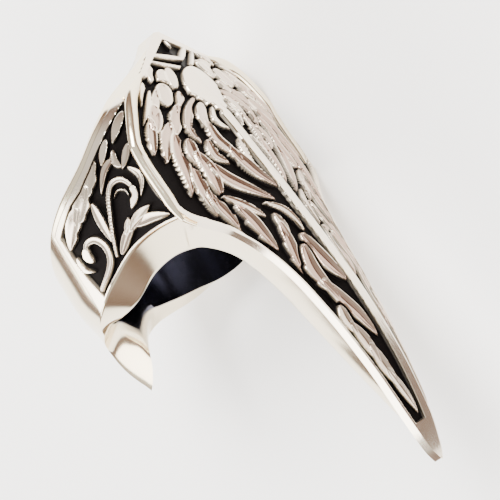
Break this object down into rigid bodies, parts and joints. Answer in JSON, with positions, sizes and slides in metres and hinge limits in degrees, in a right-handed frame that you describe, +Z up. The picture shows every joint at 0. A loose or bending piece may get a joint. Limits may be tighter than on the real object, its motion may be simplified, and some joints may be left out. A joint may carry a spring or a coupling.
{
  "type": "thumb ring",
  "caption": "Archer's thumb ring in cast silver, with a gabled leaf-relief top drawn out into a long claw and a short spur opposite.",
  "frame": {"origin": "centre of the outline seen from above, on the surface that the ring lies on", "axes": "+X along the finger towards the claw's tip, +Y from the finger hole towards the ridge, +Z up, across the ring"},
  "size_m": [0.0538, 0.031, 0.0248],
  "materials": {
    "silver": "polished cast silver with blackened ground"
  },
  "bodies": {
    "root": {"ring": "silver"}
  },
  "joints": []
}
